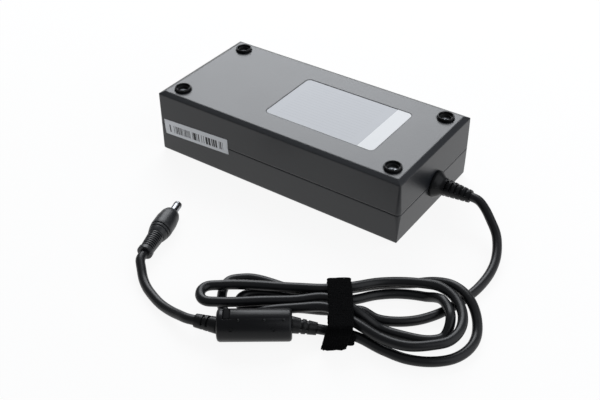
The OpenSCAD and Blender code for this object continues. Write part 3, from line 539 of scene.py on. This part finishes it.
# %% Cut end and place
RAGGED_HEIGHT = 3.2
RAGGED_DOWN, RAGGED_UP = -0.9, 0.5
TIE_CLEAR = 0.03
random.seed(7)
for v in tie.data.vertices:
    q, height = v.co.y / MM, v.co.z / MM
    if q < TIE_NEAR - TIE_T and height < RAGGED_HEIGHT:
        nearness = (RAGGED_HEIGHT - height) / RAGGED_HEIGHT
        v.co.z += random.uniform(RAGGED_DOWN, RAGGED_UP) * MM * nearness
    v.co.z = max(v.co.z, TIE_CLEAR * MM)
    v.co = turned(v.co) + HANK * MM
bpy.ops.object.mode_set(mode="EDIT")
bpy.ops.mesh.select_all(action="SELECT")
bpy.ops.mesh.normals_make_consistent(inside=False)
bpy.ops.object.mode_set(mode="OBJECT")
bpy.ops.object.shade_smooth()
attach(tie, "root")
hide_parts("cord_tie")
lowest = min(v.co.z for v in tie.data.vertices) / MM
print("the strap's lowest point is", round(lowest, 2), "mm above the table")

# %% [markdown]
# ## Details of the noise filter
# The filter's cover is a snap-on shell. Its latch fills the slot in the top of the left end, two
# round marks were left by the pins that pushed the shell out of its mould, and three small pips
# stand in a row above them. A mark is a cylinder whose top is inset and pushed in, a pip is a
# flattened ball, and the latch is a block with rounded edges. They are modelled in the hank's own
# axes, each turned to stand square on the round cover, and then turned into place with it.


# %% Where a detail stands
def on_cover(p, angle, lift):
    """Where a detail stands on the cover, and how it is turned to stand square on it."""
    tilt = math.radians(angle)
    reach = FILTER_R + lift
    return (
        Vector((p, filter_in.y + reach * math.cos(tilt), FILTER_R + reach * math.sin(tilt))) * MM,
        (tilt - math.pi / 2, 0, 0),
    )


def into_place(piece, name, *others):
    """Joins the others to a piece, and turns it from the hank's axes to the adapter's."""
    bpy.ops.object.select_all(action="DESELECT")
    for other in (*others, piece):
        other.select_set(True)
    bpy.context.view_layer.objects.active = piece
    if others:
        bpy.ops.object.join()
    bpy.ops.object.transform_apply(location=True, rotation=True, scale=True)
    piece.name = name
    piece.location = HANK * MM
    piece.rotation_euler.z = TURN
    bpy.ops.object.transform_apply(location=True, rotation=True, scale=True)
    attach(piece, "root")
    return piece


print("a detail at 90 degrees stands", round(on_cover(0, 90, 0)[0].z / MM, 1), "mm above the table")

# %% Marks and pips
MARK_D, MARK_H, MARK_ANGLE = 2.0, 0.5, 152
MARK_RIM, MARK_WALL, MARK_SINK = 0.22, 0.02, 0.42
MARK_PLACES = (-53.7, -33.0)
PIP_D, PIP_ANGLE, PIP_LIFT, PIP_FLATNESS = 1.5, 120, 0.05, 0.7
PIP_PLACES = (-50.1, -37.5, -27.9)
SHARP = math.radians(40)
marks = []
for p in MARK_PLACES:
    place, tilt = on_cover(p, MARK_ANGLE, 0)
    bpy.ops.mesh.primitive_cylinder_add(
        vertices=24, radius=MARK_D / 2 * MM, depth=MARK_H * MM, location=place, rotation=tilt
    )
    mark = bpy.context.object
    bpy.ops.object.mode_set(mode="EDIT")
    bpy.ops.mesh.select_all(action="DESELECT")
    edit = bmesh.from_edit_mesh(mark.data)
    top = max(edit.faces, key=lambda f: f.calc_center_median().z)
    top.select = True
    bmesh.update_edit_mesh(mark.data)
    bpy.ops.mesh.inset(thickness=MARK_RIM * MM)
    bpy.ops.mesh.inset(thickness=MARK_WALL * MM, depth=-MARK_SINK * MM)
    bpy.ops.object.mode_set(mode="OBJECT")
    marks.append(mark)
for p in PIP_PLACES:
    place, tilt = on_cover(p, PIP_ANGLE, PIP_LIFT)
    bpy.ops.mesh.primitive_uv_sphere_add(
        segments=16, ring_count=8, radius=PIP_D / 2 * MM, location=place, rotation=tilt
    )
    bpy.context.object.scale.z = PIP_FLATNESS
    marks.append(bpy.context.object)
filter_marks = into_place(marks[0], "filter_marks", *marks[1:])
bpy.ops.object.shade_smooth_by_angle(angle=SHARP)
print("the filter has", len(MARK_PLACES), "marks and", len(PIP_PLACES), "pips")

# %% Latch
LATCH_AT = Vector((-56, filter_in.y, 14.95))
LATCH_SIZE = Vector((3.1, 6.4, 1.5))
LATCH_EDGE = 0.35
bpy.ops.mesh.primitive_cube_add(size=1, location=LATCH_AT * MM)
latch = bpy.context.object
latch.dimensions = LATCH_SIZE * MM
bpy.ops.object.transform_apply(location=True, rotation=True, scale=True)
bpy.ops.object.mode_set(mode="EDIT")
bpy.ops.mesh.select_all(action="SELECT")
bpy.ops.mesh.bevel(offset=LATCH_EDGE * MM, segments=3)
bpy.ops.object.mode_set(mode="OBJECT")
filter_latch = into_place(latch, "filter_latch")
bpy.ops.object.shade_smooth_by_angle(angle=SHARP)
print("the latch has", len(filter_latch.data.polygons), "faces")

# %% [markdown]
# ## Band on the plug's barrel
# Near its tip the barrel has a black band round it, which shows as a dark stripe on the bright
# metal. It starts as a torus that stands a little proud of the barrel, and is stretched along
# the barrel to a band with a softly rounded face.

# %% The band
PLUG_L = 45.5
BAND_FROM_TIP = 1.6
BAND_R, BAND_THICKNESS_R, BAND_STRETCH = 2.2, 0.28, 2.6
bpy.ops.mesh.primitive_torus_add(
    major_radius=BAND_R * MM, minor_radius=BAND_THICKNESS_R * MM, major_segments=48, minor_segments=12,
    location=(plug_at + (PLUG_L - BAND_FROM_TIP) * plug_way) * MM,
    rotation=(0, math.pi / 2, PLUG_TURN),
)  # fmt: skip
barrel_band = bpy.context.object
barrel_band.name = "barrel_band"
barrel_band.scale.z = BAND_STRETCH
bpy.ops.object.transform_apply(location=True, rotation=True, scale=True)
bpy.ops.object.shade_smooth()
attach(barrel_band, "root")
print("the band has", len(barrel_band.data.polygons), "faces")

# %% [markdown]
# ## Moulded edges
# No moulded edge is truly sharp. A narrow bevel on the sharp edges of the feet, the inlet and the
# mouldings on the cord catches the light as a thin bright line. It is a modifier, so the solids
# themselves stay as they are. Their faces don't share points, so a weld joins them first, or the
# bevel would find no edges. The case has details that leave no room for a bevel, so its edges are
# rounded by its finish.

# %% Soften the edges
WELD_REACH = 0.005
SOFT_EDGES = {
    "strain_relief": 0.25, "filter_cover": 0.3, "filter_relief_left": 0.2,
    "filter_relief_right": 0.2, "plug_grip": 0.25, "inlet_housing": 0.3,
    "foot_front_left": 0.25, "foot_front_right": 0.25, "foot_back_left": 0.25, "foot_back_right": 0.25,
}  # fmt: skip
for name, width in SOFT_EDGES.items():
    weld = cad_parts[name].modifiers.new("joined_faces", "WELD")
    weld.merge_threshold = WELD_REACH * MM
    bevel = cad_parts[name].modifiers.new("soft_edge", "BEVEL")
    bevel.width = width * MM
    bevel.segments = 3
    bevel.limit_method = "ANGLE"
    bevel.angle_limit = SHARP
    bevel.harden_normals = True
print(len(SOFT_EDGES), "solids have soft edges")

# %% [markdown]
# ## Finishes
# Each finish starts from what the real material is. Most of the adapter is moulded plastic: an
# even colour with a little cloudiness, and a fine grain that breaks a reflection into a soft
# sheen. The grain is a noise of a size in millimetres, and it goes to the bump. A second, slow
# noise moves the colour and the roughness a little. Metals and rubber need only other values, so
# one function makes them all. Noise scales are counted per metre, as the solids are in metres.
# Moulded grain is 0.1 to 0.3 mm on the real surfaces, and most of it is drawn several times as
# coarse here, or it would be too fine to show.

# %% One function for grained surfaces
GRAIN_HEIGHT = 0.1
CLOUDS_PER_M = 60.0
EDGE_SAMPLES = 6
EVEN = (1, 1, 1)


def grained(name, hex_code, grain_mm, depth, rough, spread=0.05, tone=0.06, stretch=EVEN, edge_mm=0, **fixed):
    """A material with an uneven colour and roughness, and a grain of a size in millimetres.

    The roughness varies by spread and the colour by the share tone. A stretch below 1 draws the
    grain out along that axis, and an edge_mm above 0 rounds the sharp edges by so much.
    """
    material, tree = new_material(name)
    place = add(tree, "ShaderNodeTexCoord")
    run = add(tree, "ShaderNodeMapping", Vector=place.outputs["Object"], Scale=stretch)
    grain = add(tree, "ShaderNodeTexNoise", Vector=run.outputs[0], Scale=1 / (grain_mm * MM), Detail=2.0)
    cloud = add(tree, "ShaderNodeTexNoise", Vector=run.outputs[0], Scale=CLOUDS_PER_M, Detail=3.0)
    base = colour(hex_code)
    dark = [c * (1 - tone) for c in base[:3]] + [1]
    pale = [min(1, c * (1 + tone)) for c in base[:3]] + [1]
    tint = add(tree, "ShaderNodeMix", {"data_type": "RGBA"}, i0=cloud.outputs[0], i6=dark, i7=pale)
    shine = add(tree, "ShaderNodeMapRange", i0=cloud.outputs[0], i3=rough - spread, i4=rough + spread)
    bump = add(tree, "ShaderNodeBump", Height=grain.outputs[0], Strength=depth, Distance=GRAIN_HEIGHT * MM)
    if edge_mm:
        edge = add(tree, "ShaderNodeBevel", {"samples": EDGE_SAMPLES}, Radius=edge_mm * MM)
        tree.links.new(edge.outputs[0], bump.inputs["Normal"])
    skin = add(
        tree, "ShaderNodeBsdfPrincipled", Base_Color=tint.outputs[2], Roughness=shine.outputs[0],
        Normal=bump.outputs[0], **fixed,
    )  # fmt: skip
    add(tree, "ShaderNodeOutputMaterial", Surface=skin.outputs[0])
    return material


print("grained surfaces ready")

# %% Case and feet
# ABS from an etched mould: blue-black, with a wide pale sheen where it mirrors a lamp
case_abs = grained("case_abs_textured", "#12151A", 0.9, 0.35, 0.36, 0.012, edge_mm=1.3)
# Rubber: blacker than the case and uneven in tone, with small soft highlights on the rings
foot_rubber = grained("foot_rubber_matt", "#0C0D0F", 0.5, 0.2, 0.34, tone=0.12, Specular_IOR_Level=0.25)
# Nylon: plain black, a little duller than the case round it
inlet_nylon = grained("inlet_nylon_black", "#121315", 0.5, 0.2, 0.45)
print("case, feet and inlet ready")

# %% Mouldings on the cord
# Soft PVC: deep black ribs with small soft highlights
relief_pvc = grained("relief_pvc_moulded", "#0A0B0D", 0.7, 0.15, 0.36, Specular_IOR_Level=0.22)
# Drawn PVC: almost without a grain, so one soft line of light runs along the cord
cord_pvc = grained("cord_pvc_satin", "#0B0C0F", 0.6, 0.05, 0.37, 0.03, Specular_IOR_Level=0.3)
# ABS from a smooth mould: black with a satin highlight along the filter's cover
filter_abs = grained("filter_abs_satin", "#090A0D", 0.6, 0.15, 0.34, Specular_IOR_Level=0.22)
# The same ABS without its gloss, so that the latch stays dark in its slot
latch_abs = grained("latch_abs_dull", "#08090B", 0.6, 0.3, 0.7, Specular_IOR_Level=0.08)
# Harder PVC: the plug's grip is paler than the cord and has a broader highlight
grip_pvc = grained("grip_pvc_moulded", "#191A1D", 0.8, 0.1, 0.4, Specular_IOR_Level=0.42)
# The same PVC on the ribs of the plug's sleeve, with a grain that shows a little more
sleeve_pvc = grained("sleeve_pvc_moulded", "#1B1C1F", 0.8, 0.15, 0.4)
# Nylon: the black ring in the barrel's mouth and the band near its tip
insulator_nylon = grained("insulator_nylon_black", "#0B0B0D", 0.4, 0.1, 0.35)
print("black mouldings ready")

# %% Metals
# Zinc plate: pale and a little uneven, at the bottom of the feet
screw_zinc = grained("screw_zinc_plated", "#D4D7DC", 0.35, 0.3, 0.42, stretch=(1, 1, 0.2), Metallic=1.0)
# Nickel plate on turned brass: a bright barrel that mirrors the room, with fine marks of the tool
barrel_nickel = grained("barrel_nickel_turned", "#85878B", 0.25, 0.25, 0.2, stretch=(1, 4, 4), Metallic=1.0)
# Spring bronze: a warm, darker yellow inside the barrel
contact_bronze = grained("contact_bronze_spring", "#B9924E", 0.25, 0.2, 0.3, Metallic=1.0)
# Stamped brass: pale yellow blades, with marks that run along them
blade_brass = grained("blade_brass_stamped", "#B9A368", 0.3, 0.2, 0.28, stretch=(0.2, 1, 1), Metallic=1.0)
# Rolled aluminium: pale grey, with marks of the rollers along the sheet
sink_alloy = grained("sink_aluminium_rolled", "#B9BCC0", 0.3, 0.3, 0.35, stretch=(0.15, 1, 1), Metallic=1.0)
print("metals ready")

# %% Plain finishes of the parts on the board
# Frosted film: a dull cream sheet under the board
sheet_film = grained("sheet_film_frosted", "#D8D2C0", 0.4, 0.15, 0.5)
# Glazed ceramic: cream under a clear glossy coat
fuse_ceramic = grained("fuse_ceramic_glazed", "#D9D4C8", 1.5, 0.1, 0.2, Coat_Weight=0.5)
# Moulded box of the mains capacitor: smooth deep yellow
box_yellow = grained("capacitor_box_yellow", "#D0A92F", 1.0, 0.1, 0.3)
# Filled epoxy: dull charcoal chips with a gritty skin
chip_epoxy = grained("chip_epoxy_moulded", "#1D1E20", 0.25, 0.4, 0.6)
# Shrunk sleeve: glossy navy, with long low waves where it drew in
can_sleeve = grained("can_sleeve_shrunk", "#232A48", 2.0, 0.15, 0.25)
# Polyester tape: glossy amber that lies in low waves over the winding
tape_film = grained("tape_polyester_yellow", "#C9A227", 3.0, 0.2, 0.2, tone=0.1)
# Pale epoxy: the off-white body of the optocoupler
opto_epoxy = grained("opto_epoxy_pale", "#E4E1DA", 0.3, 0.2, 0.5)
# Dipped epoxy: a blue disc with a lumpy gloss
disc_epoxy = grained("disc_epoxy_dipped", "#2F62A4", 1.2, 0.4, 0.3)
# PVC: smooth dark red wire covers
wire_pvc = grained("wire_pvc_red", "#8C1F1F", 0.8, 0.1, 0.35)
# Sintered ferrite: a dull, blotchy brown-black stone
ferrite = grained("core_ferrite_sintered", "#34322F", 0.2, 0.6, 0.6, tone=0.3)
print("parts of the board ready")

# %% [markdown]
# ## Finishes with a pattern
# Some materials are known by their pattern. Enamelled wire is wound side by side, so it shows
# bands. A board shows its copper tracks as paler lines under the green mask. Loop fabric is woven
# in ribs along the strap, with a brushed nap. Each of these is the grained surface's idea again,
# with a pattern in place of its cloudiness. The bands of a Wave texture stand pi / (10 x scale)
# apart, in metres: 1.65 mm on the wire, which is twice as coarse as a real 0.8 mm wire, or it
# would be too fine to show, and 0.83 mm on the fabric, as in the real weave.

# %% One function for banded and tiled surfaces
NAP_PER_M = 1400.0


def patterned(name, low_hex, high_hex, pattern, settings, sizes, rough, depth, height_mm, twist=0, **fixed):
    """A material whose colour and relief follow one texture node, turned by twist round Z."""
    material, tree = new_material(name)
    place = add(tree, "ShaderNodeTexCoord")
    run = add(tree, "ShaderNodeMapping", Vector=place.outputs["Object"], Rotation=(0, 0, twist))
    bands = add(tree, pattern, settings, Vector=run.outputs[0], **sizes).outputs["Fac"]
    nap = add(tree, "ShaderNodeTexNoise", Vector=run.outputs[0], Scale=NAP_PER_M, Detail=3.0)
    relief = add(tree, "ShaderNodeMath", {"operation": "MULTIPLY"}, i0=bands, i1=nap.outputs[0])
    low, high = colour(low_hex), colour(high_hex)
    tint = add(tree, "ShaderNodeMix", {"data_type": "RGBA"}, i0=bands, i6=low, i7=high)
    bump = add(tree, "ShaderNodeBump", Height=relief.outputs[0], Strength=depth, Distance=height_mm * MM)
    skin = add(
        tree, "ShaderNodeBsdfPrincipled", Base_Color=tint.outputs[2], Roughness=rough,
        Normal=bump.outputs[0], **fixed,
    )  # fmt: skip
    add(tree, "ShaderNodeOutputMaterial", Surface=skin.outputs[0])
    return material


# Enamelled copper: bands of brown and orange with a clear gloss
copper_wire = patterned(
    "wire_copper_enamelled", "#5E2A12", "#B8642F", "ShaderNodeTexWave", {"bands_direction": "X"},
    {"Scale": 190.0, "Distortion": 0.4}, 0.28, 0.8, 0.3, Metallic=0.6,
)  # fmt: skip
# Glass-fibre board under a solder mask: green, with the tracks as paler lines 0.8 mm wide
board_green = patterned(
    "board_fr4_masked", "#1E5A30", "#2F8048", "ShaderNodeTexBrick", {},
    {"Scale": 1.0, "Mortar_Size": 0.4 * MM, "Brick_Width": 9 * MM, "Row_Height": 3.5 * MM}, 0.32, 0.5, 0.05,
)  # fmt: skip
# Brushed loop fabric: the darkest surface of all, in uneven ribs and without a highlight
tie_fabric = patterned(
    "tie_loop_fabric", "#010102", "#070708", "ShaderNodeTexWave", {"bands_direction": "X"},
    {"Scale": 380.0, "Distortion": 9.0, "Detail": 3.0, "Detail_Scale": 2.0}, 0.95, 1.0, 0.6,
    twist=-TURN, Specular_IOR_Level=0.04, Sheen_Weight=0.012, Sheen_Roughness=0.5,
)  # fmt: skip
print("patterned finishes ready")

# %% [markdown]
# ## Label and sticker
# The label is a silvery polyester film. It is printed with faint rules, and stays without words.
# Along one end it has a plain white strip. The sticker on the front is white paper with bars of
# uneven width, which come from white noise: each cell is one module wide, and it is black or
# white, so the bars encode nothing.


# %% Masks from places
def inside(tree, value, low, high):
    """1 where value lies between low and high, else 0."""
    above = add(tree, "ShaderNodeMath", {"operation": "GREATER_THAN"}, i0=value, i1=low)
    below = add(tree, "ShaderNodeMath", {"operation": "LESS_THAN"}, i0=value, i1=high)
    both = add(tree, "ShaderNodeMath", {"operation": "MULTIPLY"}, i0=above.outputs[0], i1=below.outputs[0])
    return both.outputs[0]


print("masks ready")

# %% Rules of the label
RULE_PITCH, RULE_W, RULE_STRENGTH = 2.6, 0.24, 0.35
LABEL_MARGIN, LABEL_STRIP, LABEL_SIDES = 6, 16, 4
label_low, label_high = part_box("label_sheet")


def label_rules(tree, place):
    """Faint rules along the label that stop short of its edges and of its strip."""
    axes = add(tree, "ShaderNodeSeparateXYZ", Vector=place)
    x, y = axes.outputs["X"], axes.outputs["Y"]
    rows = add(tree, "ShaderNodeMath", {"operation": "PINGPONG"}, i0=y, i1=RULE_PITCH / 2 * MM)
    rule = add(tree, "ShaderNodeMath", {"operation": "LESS_THAN"}, i0=rows.outputs[0], i1=RULE_W / 2 * MM)
    across = inside(tree, x, label_low[0] + LABEL_MARGIN * MM, label_high[0] - LABEL_STRIP * MM)
    field = add(tree, "ShaderNodeMath", {"operation": "MULTIPLY"}, i0=rule.outputs[0], i1=across)
    along = inside(tree, y, label_low[1] + LABEL_SIDES * MM, label_high[1] - LABEL_SIDES * MM)
    both = add(tree, "ShaderNodeMath", {"operation": "MULTIPLY"}, i0=field.outputs[0], i1=along)
    faint = add(tree, "ShaderNodeMath", {"operation": "MULTIPLY"}, i0=both.outputs[0], i1=RULE_STRENGTH)
    return faint.outputs[0]


ruled = (label_high[1] - label_low[1]) / MM - 2 * LABEL_SIDES
print("the label has about", round(ruled / RULE_PITCH), "rules")

# %% Bars of the sticker
STICKER_TILT = math.radians(3.0)
MODULE_W = 0.42
BARS_REACH, BARS_DOWN, BARS_UP = 21, 3.0, 2.2
sticker_low, sticker_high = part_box("barcode_sticker")


def bars(tree, place):
    """Bars of uneven width across the middle of the tilted sticker."""
    tilt_cos, tilt_sin = math.cos(STICKER_TILT), math.sin(STICKER_TILT)
    middle = 0.5 * (sticker_low + sticker_high)
    middle_u = middle[0] * tilt_cos + middle[2] * tilt_sin
    middle_v = -middle[0] * tilt_sin + middle[2] * tilt_cos
    dot = {"operation": "DOT_PRODUCT"}
    u = add(tree, "ShaderNodeVectorMath", dot, i0=place, i1=(tilt_cos, 0, tilt_sin)).outputs["Value"]
    v = add(tree, "ShaderNodeVectorMath", dot, i0=place, i1=(-tilt_sin, 0, tilt_cos)).outputs["Value"]
    cell = add(tree, "ShaderNodeMath", {"operation": "SNAP"}, i0=u, i1=MODULE_W * MM)
    chance = add(tree, "ShaderNodeTexWhiteNoise", {"noise_dimensions": "1D"}, W=cell.outputs[0])
    bar = add(tree, "ShaderNodeMath", {"operation": "GREATER_THAN"}, i0=chance.outputs["Value"], i1=0.5)
    across = inside(tree, u, middle_u - BARS_REACH * MM, middle_u + BARS_REACH * MM)
    along = inside(tree, v, middle_v - BARS_DOWN * MM, middle_v + BARS_UP * MM)
    field = add(tree, "ShaderNodeMath", {"operation": "MULTIPLY"}, i0=bar.outputs[0], i1=across)
    return add(tree, "ShaderNodeMath", {"operation": "MULTIPLY"}, i0=field.outputs[0], i1=along).outputs[0]


print("the sticker has room for", round(2 * BARS_REACH / MODULE_W), "modules")

# %% One function for films and paper
FIBRES_PER_M = 900.0
FIBRE_HEIGHT, FIBRE_DEPTH, SHINE_SPREAD = 0.05, 0.12, 0.05


def printed(name, paper_hex, rough, ink=None, ink_hex=None, **fixed):
    """A film or paper of one colour, printed with ink_hex where ink(tree, place) is 1."""
    material, tree = new_material(name)
    place = add(tree, "ShaderNodeTexCoord").outputs["Object"]
    fibres = add(tree, "ShaderNodeTexNoise", Vector=place, Scale=FIBRES_PER_M, Detail=2.0).outputs[0]
    tint = colour(paper_hex)
    if ink:
        mask, dark = ink(tree, place), colour(ink_hex)
        tint = add(tree, "ShaderNodeMix", {"data_type": "RGBA"}, i0=mask, i6=tint, i7=dark).outputs[2]
    shine = add(tree, "ShaderNodeMapRange", i0=fibres, i3=rough - SHINE_SPREAD, i4=rough + SHINE_SPREAD)
    bump = add(tree, "ShaderNodeBump", Height=fibres, Strength=FIBRE_DEPTH, Distance=FIBRE_HEIGHT * MM)
    skin = add(
        tree, "ShaderNodeBsdfPrincipled", Base_Color=tint, Roughness=shine.outputs[0],
        Normal=bump.outputs[0], **fixed,
    )  # fmt: skip
    add(tree, "ShaderNodeOutputMaterial", Surface=skin.outputs[0])
    return material


# Polyester film with a silver print: a pale satin field with hardly darker rules
label_film = printed("label_film_silver", "#B6B8BC", 0.42, label_rules, "#8E9094", Specular_IOR_Level=0.2)
# The same film printed white all over: the brightest and dullest part of the label
strip_film = printed("strip_film_white", "#E6E7E8", 0.6, Specular_IOR_Level=0.2)
# Coated paper: white with crisp black bars
sticker_paper = printed("sticker_paper_coated", "#DCDDDF", 0.5, bars, "#121214")
print("printed finishes ready")

# %% [markdown]
# ## Dressing the solids
# Every solid gets the finish of its real material, through a table of which solids share one.
# The new pieces get theirs after it.

# %% Every solid gets a finish
FINISHES = {
    case_abs: "case_top case_bottom",
    foot_rubber: "foot_front_left foot_front_right foot_back_left foot_back_right",
    screw_zinc: "case_screws",
    label_film: "label_sheet",
    strip_film: "label_strip",
    sticker_paper: "barcode_sticker",
    inlet_nylon: "inlet_housing",
    blade_brass: "inlet_blade_line inlet_blade_neutral inlet_blade_earth",
    board_green: "circuit_board",
    sheet_film: "insulation_sheet",
    fuse_ceramic: "mains_fuse",
    box_yellow: "mains_capacitor",
    ferrite: "choke_core transformer_core filter_core",
    copper_wire: "choke_windings output_inductor",
    chip_epoxy: "bridge_rectifier switching_transistor output_diode controller_chip",
    can_sleeve: "reservoir_capacitor output_capacitor_a output_capacitor_b",
    sink_alloy: "primary_heat_sink secondary_heat_sink",
    tape_film: "transformer_winding",
    opto_epoxy: "optocoupler",
    disc_epoxy: "safety_capacitor",
    wire_pvc: "output_wires",
    relief_pvc: "strain_relief filter_relief_right filter_relief_left",
    cord_pvc: "cord_lead cord_hank cord_in_filter cord_end",
    tie_fabric: "cord_tie",
    filter_abs: "filter_cover",
    sleeve_pvc: "plug_sleeve",
    grip_pvc: "plug_grip",
    barrel_nickel: "plug_barrel",
    insulator_nylon: "plug_insulator",
    contact_bronze: "plug_contact",
}
dressed = set()
for finish, names in FINISHES.items():
    for name in names.split():
        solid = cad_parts[name]
        solid.data.materials.clear()
        solid.data.materials.append(finish)
        dressed.add(name)
output_cord.data.materials.append(cord_pvc)
tie.data.materials.append(tie_fabric)
filter_marks.data.materials.append(filter_abs)
filter_latch.data.materials.append(latch_abs)
barrel_band.data.materials.append(insulator_nylon)
print(len(dressed), "solids dressed; left out:", sorted(set(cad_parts) - dressed))

# %% [markdown]
# ## Colour view
# The render shows its colours through the Standard view, so a hex value comes out as written.

# %% Standard view
scene.view_settings.view_transform = "Standard"
